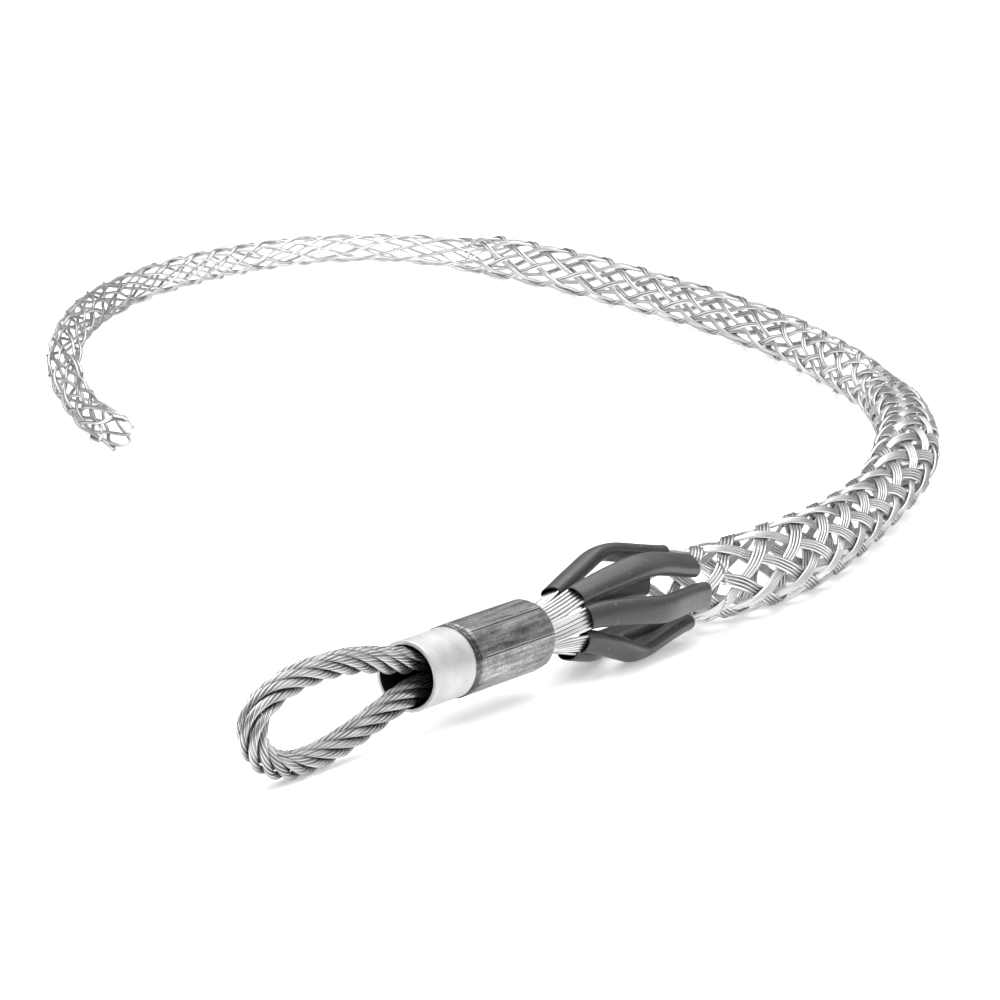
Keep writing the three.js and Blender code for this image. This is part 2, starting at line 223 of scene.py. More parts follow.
class Builder:
    """Collects closed tubes into one mesh, with one number per point for its place along the tube and one per tube."""

    def __init__(self):
        self.v, self.f, self.along, self.tint, self.count = [], [], [], [], 0
        self.mat = []

    def tube(self, p, radius, sides, tint=0.5, start=0.0, caps=(True, True), hint=(0, 0, 1), phase=0.0, material=0):
        t, n, b = transport(p, hint)
        r = np.broadcast_to(np.asarray(radius, float), (len(p),))
        a = (np.arange(sides) + phase) * 2 * math.pi / sides
        ring = p[:, None, :] + r[:, None, None] * (np.cos(a)[None, :, None] * n[:, None, :] + np.sin(a)[None, :, None] * b[:, None, :])
        self.grid(ring, tint, start, caps, material)

    def grid(self, ring, tint=0.5, start=0.0, caps=(True, True), material=0):
        m, k = ring.shape[:2]
        base = self.count
        d = np.r_[0, np.cumsum(np.linalg.norm(np.diff(ring.mean(1), axis=0), axis=1))] + start
        self.v.append(ring.reshape(-1, 3))
        self.along.append(np.repeat(d, k))
        self.tint.append(np.full(m * k, tint))
        i = np.arange(m - 1)[:, None] * k
        j = np.arange(k)[None, :]
        j2 = (j + 1) % k
        quads = np.stack([i + j, i + j2, i + k + j2, i + k + j], -1).reshape(-1, 4) + base
        self.f.extend(quads.tolist())
        self.mat.extend([material] * len(quads))
        self.count += m * k
        if caps[0]:
            self.f.append(list(range(base + k - 1, base - 1, -1)))
            self.mat.append(material)
        if caps[1]:
            e = base + (m - 1) * k
            self.f.append(list(range(e, e + k)))
            self.mat.append(material)

    def object(self, name, materials, smooth=True):
        v = rows(np.vstack(self.v))
        mesh = bpy.data.meshes.new(name)
        mesh.from_pydata(v.tolist(), [], self.f)
        mesh.polygons.foreach_set("use_smooth", [smooth] * len(mesh.polygons))
        mesh.polygons.foreach_set("material_index", self.mat)
        for key, data in (("along", self.along), ("tint", self.tint)):
            at = mesh.attributes.new(key, "FLOAT", "POINT")
            at.data.foreach_set("value", np.concatenate(data).astype(np.float32))
        for m in materials if isinstance(materials, (list, tuple)) else [materials]:
            mesh.materials.append(m)
        mesh.validate()
        mesh.update()
        ob = bpy.data.objects.new(name, mesh)
        bpy.context.scene.collection.objects.link(ob)
        return ob


def settle(ob, slot, *nodes):
    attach(ob, "root")
    if nodes:
        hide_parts(*nodes)
    return ob


# ---- materials -------------------------------------------------------------
def material(name):
    m = bpy.data.materials.new(name)
    m.use_nodes = True
    nt = m.node_tree
    nt.nodes.clear()
    out = nt.nodes.new("ShaderNodeOutputMaterial")
    bsdf = nt.nodes.new("ShaderNodeBsdfPrincipled")
    nt.links.new(bsdf.outputs[0], out.inputs[0])
    return m, nt, bsdf


def node(nt, kind, **values):
    n = nt.nodes.new(kind)
    for k, v in values.items():
        if k in n.inputs.keys():
            n.inputs[k].default_value = v
        else:
            setattr(n, k, v)
    return n


def ramp(nt, source, stops):
    r = nt.nodes.new("ShaderNodeValToRGB")
    el = r.color_ramp.elements
    while len(el) < len(stops):
        el.new(0.5)
    for e, (pos, col) in zip(el, stops):
        e.position = pos
        c = col if isinstance(col, (tuple, list)) else (col, col, col)
        e.color = (*c, 1.0)
    nt.links.new(source, r.inputs[0])
    return r


def math_node(nt, op, a, b=None, clamp=False):
    n = nt.nodes.new("ShaderNodeMath")
    n.operation = op
    n.use_clamp = clamp
    for i, x in enumerate((a, b)):
        if x is None:
            continue
        if isinstance(x, (int, float)):
            n.inputs[i].default_value = x
        else:
            nt.links.new(x, n.inputs[i])
    return n.outputs[0]


def mix_rgb(nt, fac, a, b, blend="MIX"):
    n = nt.nodes.new("ShaderNodeMix")
    n.data_type = "RGBA"
    n.blend_type = blend
    if isinstance(fac, (int, float)):
        n.inputs[0].default_value = fac
    else:
        nt.links.new(fac, n.inputs[0])
    for i, x in ((6, a), (7, b)):
        if isinstance(x, (tuple, list)):
            n.inputs[i].default_value = (*x, 1.0)
        else:
            nt.links.new(x, n.inputs[i])
    return n.outputs[2]


def bump(nt, height, strength, distance, bsdf):
    b = nt.nodes.new("ShaderNodeBump")
    b.inputs["Strength"].default_value = strength
    b.inputs["Distance"].default_value = distance
    nt.links.new(height, b.inputs["Height"])
    nt.links.new(b.outputs[0], bsdf.inputs["Normal"])
    return b


def noise(nt, scale, detail=3.0, rough=0.5, vector=None, distortion=0.0):
    n = nt.nodes.new("ShaderNodeTexNoise")
    n.inputs["Scale"].default_value = scale
    n.inputs["Detail"].default_value = detail
    n.inputs["Roughness"].default_value = rough
    n.inputs["Distortion"].default_value = distortion
    if vector is not None:
        nt.links.new(vector, n.inputs["Vector"])
    return n


def wire_material(name, dark, light, rough_lo, rough_hi, streak=1.0, rim=0.35, own=0.2):
    """Drawn wire: fine streaks along it, soft patches, its own tone for each wire; on the rope this number also carries
    painted shade for the cores and alternate wires.
    """
    m, nt, bsdf = material(name)
    co = nt.nodes.new("ShaderNodeTexCoord")
    tint = node(nt, "ShaderNodeAttribute", attribute_name="tint")
    along = node(nt, "ShaderNodeAttribute", attribute_name="along")
    patch = noise(nt, 90.0, 4.0, 0.6, co.outputs["Object"])
    fine = noise(nt, 900.0, 2.0, 0.6, co.outputs["Object"])
    comb = nt.nodes.new("ShaderNodeCombineXYZ")
    nt.links.new(math_node(nt, "MULTIPLY", along.outputs["Fac"], 0.045), comb.inputs[0])
    nt.links.new(math_node(nt, "MULTIPLY", tint.outputs["Fac"], 40.0), comb.inputs[1])
    run = noise(nt, 1.0, 3.0, 0.6, comb.outputs[0])
    v = math_node(nt, "MULTIPLY", patch.outputs["Fac"], (1 - own) * 0.56)
    v = math_node(nt, "ADD", v, math_node(nt, "MULTIPLY", run.outputs["Fac"], (1 - own) * 0.44))
    v = math_node(nt, "ADD", v, math_node(nt, "MULTIPLY", tint.outputs["Fac"], own))
    col = ramp(nt, v, [(0.3, dark), (0.7, light)])
    nt.links.new(col.outputs[0], bsdf.inputs["Base Color"])
    r = ramp(nt, fine.outputs["Fac"], [(0.3, rough_lo), (0.7, rough_hi)])
    nt.links.new(r.outputs[0], bsdf.inputs["Roughness"])
    bsdf.inputs["Metallic"].default_value = 1.0
    bsdf.inputs["Specular Tint"].default_value = (rim, rim, rim, 1.0)
    bump(nt, fine.outputs["Fac"], 0.25 * streak, 0.00006, bsdf)
    return m


galvanised = wire_material("galvanised_wire", (0.56, 0.563, 0.568), (0.83, 0.833, 0.837), 0.28, 0.44, 1.6, 0.12, 0.3)
# on the rope the per-wire number weighs more, since it carries the painted shade of the cores and alternate wires
rope_steel = wire_material("rope_steel", (0.2, 0.2, 0.199), (0.8, 0.8, 0.797), 0.28, 0.44, 1.0, 0.35, 0.55)


def hose_material():
    m, nt, bsdf = material("hose_rubber")
    co = nt.nodes.new("ShaderNodeTexCoord")
    patch = noise(nt, 70.0, 4.0, 0.6, co.outputs["Object"])
    dust = noise(nt, 420.0, 2.0, 0.5, co.outputs["Object"])
    scuff = noise(nt, 180.0, 5.0, 0.7, co.outputs["Object"], 1.2)
    base = ramp(nt, patch.outputs["Fac"], [(0.3, (0.032, 0.033, 0.035)), (0.7, (0.05, 0.052, 0.055))])
    specks = ramp(nt, scuff.outputs["Fac"], [(0.64, 0.0), (0.70, 1.0)])
    tiny = ramp(nt, dust.outputs["Fac"], [(0.70, 0.0), (0.76, 1.0)])
    amount = math_node(nt, "MAXIMUM", math_node(nt, "MULTIPLY", specks.outputs[0], 0.35), math_node(nt, "MULTIPLY", tiny.outputs[0], 0.5))
    col = mix_rgb(nt, amount, base.outputs[0], (0.3, 0.3, 0.3))
    nt.links.new(col, bsdf.inputs["Base Color"])
    r = ramp(nt, patch.outputs["Fac"], [(0.25, 0.3), (0.75, 0.42)])
    nt.links.new(r.outputs[0], bsdf.inputs["Roughness"])
    bsdf.inputs["Specular IOR Level"].default_value = 0.5
    bsdf.inputs["Coat Weight"].default_value = 0.0
    h = math_node(nt, "ADD", math_node(nt, "MULTIPLY", patch.outputs["Fac"], 1.0), math_node(nt, "MULTIPLY", dust.outputs["Fac"], 0.3))
    bump(nt, h, 0.35, 0.0004, bsdf)
    return m


# painted shade: a near-black material for the hollows (inside the sleeve, the ferrule's bore, the hoses' insides),
# standing in for the shade that falls there
def shade_inside_material():
    m, nt, bsdf = material("painted_shade_inside")
    co = nt.nodes.new("ShaderNodeTexCoord")
    n = noise(nt, 300.0, 3.0, 0.6, co.outputs["Object"])
    c = ramp(nt, n.outputs["Fac"], [(0.3, 0.004), (0.7, 0.012)])
    nt.links.new(c.outputs[0], bsdf.inputs["Base Color"])
    bsdf.inputs["Roughness"].default_value = 0.7
    bsdf.inputs["Specular IOR Level"].default_value = 0.2
    return m


def aluminium_material():
    m, nt, bsdf = material("aluminium")
    co = nt.nodes.new("ShaderNodeTexCoord")
    mapping = nt.nodes.new("ShaderNodeMapping")
    mapping.inputs["Scale"].default_value = (1.0, 14.0, 1.0)
    nt.links.new(co.outputs["Object"], mapping.inputs["Vector"])
    turned = noise(nt, 260.0, 4.0, 0.6, mapping.outputs[0])
    patch = noise(nt, 110.0, 4.0, 0.65, co.outputs["Object"])
    pits = noise(nt, 700.0, 2.0, 0.6, co.outputs["Object"])
    v = math_node(nt, "ADD", math_node(nt, "MULTIPLY", turned.outputs["Fac"], 0.35), math_node(nt, "MULTIPLY", patch.outputs["Fac"], 0.65))
    c = ramp(nt, v, [(0.32, (0.45, 0.453, 0.457)), (0.6, (0.62, 0.623, 0.627))])
    nt.links.new(c.outputs[0], bsdf.inputs["Base Color"])
    r = ramp(nt, turned.outputs["Fac"], [(0.3, 0.42), (0.7, 0.58)])
    nt.links.new(r.outputs[0], bsdf.inputs["Roughness"])
    bsdf.inputs["Metallic"].default_value = 0.55
    h = math_node(nt, "ADD", math_node(nt, "MULTIPLY", turned.outputs["Fac"], 0.5), math_node(nt, "MULTIPLY", pits.outputs["Fac"], 0.5))
    bump(nt, h, 0.3, 0.00012, bsdf)
    return m


def ferrule_material():
    m, nt, bsdf = material("dark_steel")
    co = nt.nodes.new("ShaderNodeTexCoord")
    mapping = nt.nodes.new("ShaderNodeMapping")
    mapping.inputs["Scale"].default_value = (5.0, 0.35, 5.0)
    nt.links.new(co.outputs["Object"], mapping.inputs["Vector"])
    drawn = noise(nt, 120.0, 4.0, 0.6, mapping.outputs[0])
    patch = noise(nt, 130.0, 6.0, 0.7, co.outputs["Object"])
    grit = noise(nt, 900.0, 3.0, 0.7, co.outputs["Object"])
    # painted highlight: the edge mask lightens a line beside each press ridge and a band along the rear rounded corner
    edge = node(nt, "ShaderNodeAttribute", attribute_name="edge")
    v = math_node(nt, "ADD", math_node(nt, "MULTIPLY", patch.outputs["Fac"], 0.2), math_node(nt, "MULTIPLY", drawn.outputs["Fac"], 0.55))
    v = math_node(nt, "ADD", v, math_node(nt, "MULTIPLY", grit.outputs["Fac"], 0.25))
    c = ramp(nt, v, [(0.38, (0.05, 0.05, 0.049)), (0.5, (0.2, 0.2, 0.198)), (0.63, (0.5, 0.5, 0.496))])
    bright = mix_rgb(nt, math_node(nt, "MULTIPLY", edge.outputs["Fac"], 0.6, True), c.outputs[0], (0.42, 0.42, 0.415))
    # painted shade: a near-black line down each press ridge, in the notch behind the rolled front edge, and over the
    # front edge where it meets the sleeve
    crease_shade = node(nt, "ShaderNodeAttribute", attribute_name="crease_shade")
    col = mix_rgb(nt, math_node(nt, "MULTIPLY", crease_shade.outputs["Fac"], 0.92, True), bright, (0.02, 0.02, 0.019))
    nt.links.new(col, bsdf.inputs["Base Color"])
    r = ramp(nt, v, [(0.36, 0.42), (0.64, 0.24)])
    nt.links.new(r.outputs[0], bsdf.inputs["Roughness"])
    bsdf.inputs["Metallic"].default_value = 0.85
    h = math_node(nt, "ADD", math_node(nt, "MULTIPLY", grit.outputs["Fac"], 0.6), math_node(nt, "MULTIPLY", drawn.outputs["Fac"], 0.6))
    bump(nt, h, 0.5, 0.0002, bsdf)
    return m


hose_rubber = hose_material()
painted_shade_inside = shade_inside_material()
aluminium = aluminium_material()
dark_steel = ferrule_material()

rng = np.random.default_rng(20)


def wander(amount, wave, seed, lo=0.0, hi=1700.0):
    """A slow, repeatable variation along the stocking."""
    g = np.random.default_rng(seed)
    knots = np.arange(lo, hi + wave, wave)
    val = g.normal(0, amount, len(knots))
    m = 24
    x = np.linspace(lo, hi, len(knots) * m)
    y = np.interp(x, knots, val)
    k = np.hanning(2 * m + 1)
    y = np.convolve(np.pad(y, m, mode="edge"), k / k.sum(), mode="valid")
    return lambda q: np.interp(q, x, y)


# ---- the woven wires --------------------------------------------------------
PITCH_IN_BAND = 1.285
S_FRONT = -73.5  # the wires' ends lie inside the ferrule
WAVE = 0.645


def weave_height(phase, sharp):
    c = np.cos(math.pi * phase)
    return np.tanh(sharp * c) / np.tanh(sharp)


def band_offsets(s, p):
    """Sideways place of wire p (0..3, from the side that turns back first) in its band."""
    a = ease(s, place_of_ring(N1) + 1, place_of_ring(N1) + 26)
    b = ease(s, place_of_ring(N2) + 1, place_of_ring(N2) + 18)
    lead = p - 1.5
    middle = p - 2.5
    tail = p - 3.0
    return (lead * (1 - a) + middle * a) * (1 - b) + tail * b


jitter = {}
for _k in range(6):
    for _d in (1, -1):
        jitter[(_k, _d)] = wander(0.028, 60.0, 100 + _k * 7 + _d)
        for _p in range(4):
            jitter[(_k, _d, _p)] = wander(0.055, 45.0, 300 + _k * 31 + _d * 3 + _p)


def strand(k, d, p, s):
    """Angle, radius and sideways shift of one wire of band k (direction d) at arc lengths s."""
    n = rings(s)
    live = ease(s, 56, 90)
    y = s + 59.7
    lead_in = ease(s, 44, 58)
    radius = spread(y) * (1 - lead_in) + (diameter(s) / 2 - 2 * WIRE_R) * lead_in
    # in the hoses the eight wires lie six outside and two inside
    early = 1 - ease(s, 36, 46)
    place = (p - 2.5) if d > 0 else (2.5, 1.5, 0.5, -0.5)[p]
    row = 1.0 if (d > 0 or p <= 1) else -1.0
    pitch = np.interp(y, [5, 24, 50], [1.11, 1.36, 1.27])
    off = band_offsets(s, p) * PITCH_IN_BAND * d + jitter[(k, d, p)](s) * live
    off = off * (1 - early) + place * pitch * early
    angle = d * np.radians(30.0) * n + np.radians(twist(s))
    centre = np.radians(turns[k](y)) + angle + d * jitter[(k, d)](s) * live
    # width across the band is measured square to it
    slope = np.gradient(angle, s) * radius
    stretch = np.sqrt(1 + np.minimum(slope ** 2, 1.2))
    turn = off * stretch / radius
    phase = n + d * np.degrees(turn) / 60.0
    sharp = np.interp(s, [0, 420, 460, 920, 960], [2.0, 2.0, 1.6, 1.6, 1.15])
    h = weave_height(phase, sharp)
    crossed = ease(s, 40, 50)
    height = WAVE * (d * h * crossed + row * (1 - crossed))
    # round the ferrule's axis, then flat in the hoses, then round the weave
    w = np.maximum(1 - ease(y, 12, 30), ease(s, 42, 60))
    return centre, turn * w, off * (1 - w), radius + height


def wire_points(i, p):
    """One folded wire: out along band i, back along the band that it meets where it turns."""
    n_turn = N1 if p < 2 else (N2 if p == 2 else N3)
    s_turn = place_of_ring(n_turn) if p < 3 else END - 8.5
    j = (i + n_turn) % 6
    reach = {0: 5.2, 1: 2.9, 2: 4.6, 3: 4.0}[p]
    back = {0: 9.0, 1: 7.0, 2: 12.0, 3: 20.0}[p]
    s0 = s_turn - back
    step = 1.1
    s = np.linspace(S_FRONT, s0, int((s0 - S_FRONT) / step))
    halves = []
    for k, d in ((i, 1), (j, -1)):
        c, t, off, r = strand(k, d, p, s)
        halves.append((s, c, t, off, r))
    # arch in the unrolled surface
    ra = halves[0][4][-1]
    mid = float(diameter(np.array([s_turn]))[0]) / 2 - 2 * WIRE_R
    a_end = halves[0][1] + halves[0][2]
    b_end = halves[1][1] + halves[1][2]
    ua, ub = a_end[-1], b_end[-1]
    # bring the far half within half a turn of the near one
    k2 = round((ub - ua - 0.5) / (2 * math.pi))
    while ub - ua > math.pi:
        ub -= 2 * math.pi
        b_end = b_end - 2 * math.pi
    while ub - ua < -math.pi:
        ub += 2 * math.pi
        b_end = b_end + 2 * math.pi
    da = (a_end[-1] - a_end[-4]) / (s[-1] - s[-4])
    db = (b_end[-1] - b_end[-4]) / (s[-1] - s[-4])
    s_top = s_turn + reach
    u_top = (ua + ub) / 2
    m = 16
    t = np.linspace(0, 1, m + 1)[1:]
    h00, h10, h01, h11 = 2 * t ** 3 - 3 * t ** 2 + 1, t ** 3 - 2 * t ** 2 + t, -2 * t ** 3 + 3 * t ** 2, t ** 3 - t ** 2
    span = s_top - s0
    sa = h00 * s0 + h10 * span * 1.15 + h01 * s_top
    xa = h00 * ua + h10 * da * span * 1.15 + h01 * u_top + h11 * (u_top - ua) * 2.1
    sb = sa
    xb = h00 * ub + h10 * db * span * 1.15 + h01 * u_top + h11 * (u_top - ub) * 2.1
    # over on one leg, under on the other, passing through at the top
    ha, hb = halves[0][4][-1] - mid, halves[1][4][-1] - mid
    sign = 1 if math.cos(math.pi * n_turn) > 0 else -1
    fa = ha + (sign * WAVE - ha) * ease(t, 0.1, 0.6)
    fb = hb + (-sign * WAVE - hb) * ease(t, 0.1, 0.6)
    f_top = (fa + fb) / 2
    w = ease(t, 0.72, 1.0)
    fa, fb = fa * (1 - w) + f_top * w, fb * (1 - w) + f_top * w
    s_all = np.concatenate([s, sa, sb[::-1][1:], s[::-1]])
    ang = np.concatenate([a_end, xa, xb[::-1][1:], b_end[::-1]])
    off = np.concatenate([halves[0][3], 0 * sa, 0 * sb[1:], halves[1][3][::-1]])
    rad = np.concatenate([halves[0][4], mid + fa, (mid + fb)[::-1][1:], halves[1][4][::-1]])
    return s_all, on_tube(s_all, ang, rad, off)


CUTS = [("bundle", S_FRONT - 1, 54.0), ("stocking_lead", 54.0, None), ("stocking_middle", None, None), ("stocking_tail", None, 2000.0)]
s_cut1 = place_of_ring(N1) + 7.0
s_cut2 = place_of_ring(N2) + 7.0
pieces = {"stocking_lead": Builder(), "stocking_middle": Builder(), "stocking_tail": Builder()}
bundles = {k: Builder() for k in range(6)}
spans = {"stocking_lead": (54.0, s_cut1), "stocking_middle": (s_cut1, s_cut2), "stocking_tail": (s_cut2, 3000.0)}
SIDES = 8


def clip_runs(s, lo, hi):
    """Index ranges of a polyline whose arc length lies within lo..hi."""
    inside = (s >= lo) & (s <= hi)
    runs, start = [], None
    for i, a in enumerate(inside):
        if a and start is None:
            start = i
        if not a and start is not None:
            runs.append((start, i))
            start = None
    if start is not None:
        runs.append((start, len(inside)))
    return runs


def cut_point(s, p, i, j, at):
    w = (at - s[i]) / (s[j] - s[i])
    return p[i] + (p[j] - p[i]) * w


for band in range(6):
    for p in range(4):
        s_all, pts = wire_points(band, p)
        half = len(s_all) // 2
        tint = float(rng.uniform(0, 1))
        rad = WIRE_R * 0.995
        for name, (lo, hi) in spans.items():
            for a, b in clip_runs(s_all, lo, hi):
                seg = pts[a:b]
                if a > 0:
                    at = lo if s_all[a - 1] < lo else hi
                    seg = np.vstack([cut_point(s_all, pts, a - 1, a, at), seg])
                if b < len(s_all):
                    at = lo if s_all[b] < lo else hi
                    seg = np.vstack([seg, cut_point(s_all, pts, b - 1, b, at)])
                step = {"stocking_lead": 2.0, "stocking_middle": 2.0, "stocking_tail": 1.9}[name]
                wide = {"stocking_lead": 1.0, "stocking_middle": 1.18, "stocking_tail": 1.25}[name]
                pieces[name].tube(resample(seg, step), rad * wide, SIDES, tint, start=float(a))
        for a, b in clip_runs(s_all, S_FRONT - 1, 54.0):
            seg = pts[a:b]
            if a > 0:
                seg = np.vstack([cut_point(s_all, pts, a - 1, a, 54.0), seg])
            if b < len(s_all):
                seg = np.vstack([seg, cut_point(s_all, pts, b - 1, b, 54.0)])
            n_turn = N1 if p < 2 else (N2 if p == 2 else N3)
            owner = band if a < half else (band + n_turn) % 6
            bundles[owner].tube(resample(seg, 2.2), rad, 10, tint, start=float(a))

for name, b in pieces.items():
    settle(b.object(name + "_wires", galvanised), "galvanised_wire", name)
for k, b in bundles.items():
    settle(b.object("bundle_wires_%d" % (k + 1), galvanised), "galvanised_wire", "wire_bundle_%d" % (k + 1))

# ---- hoses ------------------------------------------------------------------
HOSE_START = [26.0, 28.0, 27.5, 27.5, 29.0, 29.0]
HOSE_END = [101.0, 97.0, 100.0, 98.5, 99.0, 101.5]
HOSE_WIDTH = smooth_table(np.array([[28, 4.35], [45, 4.95], [102, 4.85]]), 20, 110, 3.0)
HALF_T, WALL = 3.2, 0.42


def hose(k):
    g = np.random.default_rng(50 + k)
    y = np.linspace(HOSE_START[k], HOSE_END[k], 84)
    a = np.radians(turns[k](y))
    out = np.stack([np.sin(a), 0 * a, np.cos(a)], 1)
    path = np.stack([0 * y, y, AXIS - drop(y)], 1) + out * spread(y)[:, None]
    t = np.gradient(path, axis=0)
    t /= np.linalg.norm(t, axis=1)[:, None]
    side = np.stack([np.cos(a), 0 * a, -np.sin(a)], 1)
    side = side - t * (side * t).sum(1)[:, None]
    side /= np.linalg.norm(side, axis=1)[:, None]
    up = np.cross(side, t)
    wob = np.interp(y, np.linspace(y[0], y[-1], 9), g.normal(0, 0.05, 9))
    bend = np.exp(-((y - 64) / 7.0) ** 2)
    m = 40
    ang = np.arange(m) / m * 2 * math.pi
    e = 2.35  # a slightly squared oval

    def section(w, h):
        c, s_ = np.cos(ang), np.sin(ang)
        r = (np.abs(c) ** e + np.abs(s_) ** e) ** (-1 / e)
        return w[:, None] * (r * c)[None], h[:, None] * (r * s_)[None]

    def ring(w, h, idx):
        x, z = section(w, h)
        return path[idx][:, None] + side[idx][:, None] * x[..., None] + up[idx][:, None] * z[..., None]

    n = len(y)
    w_out = HOSE_WIDTH(y) * (1 + wob * 0.3 + 0.01 * bend)
    h_out = HALF_T * 0.98 * (1 - wob * 0.3 - 0.04 * bend)
    w_in, h_in = w_out - WALL, h_out - WALL
    rim = 0.2
    shell = []
    i0, i1 = 0, n - 1
    every = np.arange(n)
    outer = ring(w_out, h_out, every)
    inner = ring(w_in, h_in, every)
    d0, d1 = (path[1] - path[0]), (path[-1] - path[-2])
    d0, d1 = d0 / np.linalg.norm(d0), d1 / np.linalg.norm(d1)
    fo = ring(w_out[:1] - rim, h_out[:1] - rim, every[:1]) - 0
    eo = ring(w_out[-1:] - rim, h_out[-1:] - rim, every[-1:])
    fi = ring(w_in[:1] + 0.08, h_in[:1] + 0.08, every[:1])
    ei = ring(w_in[-1:] + 0.08, h_in[-1:] + 0.08, every[-1:])
    outer[0] += d0 * rim
    outer[-1] -= d1 * rim
    grid = np.concatenate([fi, fo, outer, eo, ei, inner[::-1]])
    b = Builder()
    # a closed ring of sections: the last joins the first
    mm, kk = grid.shape[:2]
    b.v.append(grid.reshape(-1, 3))
    b.along.append(np.repeat(np.arange(mm, dtype=float), kk))
    b.tint.append(np.full(mm * kk, 0.1 + 0.15 * k))
    i = np.arange(mm)[:, None]
    i2 = (i + 1) % mm
    j = np.arange(kk)[None]
    j2 = (j + 1) % kk
    q = np.stack([i * kk + j, i2 * kk + j, i2 * kk + j2, i * kk + j2], -1).reshape(-1, 4)
    b.f = q.tolist()
    inner_from = 2 + n + 2
    rowsof = np.repeat(np.arange(mm), kk)
    # painted shade: the hose's inner wall and the rim just inside each cut end take the near-black shade material
    b.mat = [1 if r >= inner_from - 1 or r == mm - 1 else 0 for r in rowsof]
    b.count = mm * kk
    ob = b.object("hose_cover_%d" % (k + 1), [hose_rubber, painted_shade_inside])
    return settle(ob, "hose_rubber", "hose_%d" % (k + 1))


def fix_normals(ob):
    import bmesh
    bm = bmesh.new()
    bm.from_mesh(ob.data)
    bmesh.ops.recalc_face_normals(bm, faces=bm.faces)
    bm.to_mesh(ob.data)
    bm.free()
    return ob


for k in range(6):
    fix_normals(hose(k))

# ---- eye rope ----------------------------------------------------------------
EYE = np.array([
    [-20, 4.95], [-32, 4.95], [-44, 4.95], [-56, 5.05], [-67, 5.85], [-78, 8.0], [-90, 10.6], [-102, 12.3],
    [-115, 12.9], [-128, 12.4], [-139, 10.5], [-147, 7.1], [-151.4, 2.2], [-151.5, -3.6], [-147.6, -9.0],
    [-140.5, -13.4], [-131, -15.8], [-120, -16.0], [-109, -14.9], [-98, -13.0], [-88, -10.8], [-78, -8.4],
    [-67, -6.1], [-56, -5.15], [-44, -4.95], [-32, -4.95], [-20, -4.95],
])
HELIX, LAY = 3.3, 61.0
STRAND_R, FINE_R, FINE_N, FINE_LAY = 1.43, 0.272, 12, 20.0


def catmull(points, per):
    ext = np.vstack([2 * points[0] - points[1], points, 2 * points[-1] - points[-2]])
    out = []
    for i in range(len(points) - 1):
        p0, p1, p2, p3 = ext[i:i + 4]
        u = np.linspace(0, 1, per, endpoint=False)[:, None]
        v0, v1 = (p2 - p0) * 0.5, (p3 - p1) * 0.5
        out.append((2 * p1 - 2 * p2 + v0 + v1) * u ** 3 + (-3 * p1 + 3 * p2 - 2 * v0 - v1) * u ** 2 + v0 * u + p1)
    out.append(points[-1:])
    return np.vstack(out)


eye_line = catmull(np.stack([0 * EYE[:, 0], EYE[:, 0], EYE[:, 1] + AXIS], 1), 60)
eye_line = resample(eye_line, 0.9)
eye_d = np.r_[0, np.cumsum(np.linalg.norm(np.diff(eye_line, axis=0), axis=1))]
eye_t = np.gradient(eye_line, axis=0)
eye_t /= np.linalg.norm(eye_t, axis=1)[:, None]
eye_side = np.broadcast_to(np.array([1.0, 0, 0]), eye_t.shape)
eye_n = np.cross(eye_t, eye_side)
eye_n /= np.linalg.norm(eye_n, axis=1)[:, None]
EYE_LENGTH = eye_d[-1]
NEAR = float(eye_d[int(np.argmin(eye_line[:, 1]))])
eye_in = np.array([0.0, -112.0, AXIS - 1.5]) - eye_line
eye_in /= np.linalg.norm(eye_in, axis=1)[:, None]


def strand_line(k):
    a = 2 * math.pi * k / 6 - 2 * math.pi * eye_d / LAY
    # bent hard at the near end, the rope opens a little and flattens towards the inside of the loop
    open_up = np.exp(-((eye_d - NEAR) / 26.0) ** 2)
    r = HELIX + 0.42 * open_up
    return eye_line + eye_side * (r * np.cos(a))[:, None] - eye_n * (r * np.sin(a))[:, None] + eye_in * (0.42 * open_up)[:, None]


for k in range(6):
    line = strand_line(k)
    t, n, b = transport(line, (1, 0, 0))
    d = np.r_[0, np.cumsum(np.linalg.norm(np.diff(line, axis=0), axis=1))]
    bl = Builder()
    # painted shade: each strand's core gets a low number, so it shows dark in the gaps between the fine wires
    bl.tube(line[::2], 0.98, 8, 0.15)
    for w in range(FINE_N):
        a = 2 * math.pi * w / FINE_N - 2 * math.pi * d / FINE_LAY + 0.4 * k
        r = STRAND_R - FINE_R
        fine = line + (n * np.cos(a)[:, None] + b * np.sin(a)[:, None]) * r
        # alternate fine wires are painted lighter and darker, standing in for the highlight and shade that part each
        # wire from the next; within each range the tone varies at random
        bl.tube(resample(fine, 1.35), FINE_R, 6, float(rng.uniform(0.65, 1.0) if w % 2 else rng.uniform(0.1, 0.55)))
    settle(bl.object("eye_strand_wires_%d" % (k + 1), rope_steel), "rope_steel", "eye_strand_%d" % (k + 1))

core = Builder()
# painted shade: the rope's core gets a low number, so it shows dark between the strands
core.tube(eye_line[::3], 1.6, 12, 0.1)
settle(core.object("eye_core_wires", rope_steel), "rope_steel", "eye_core")


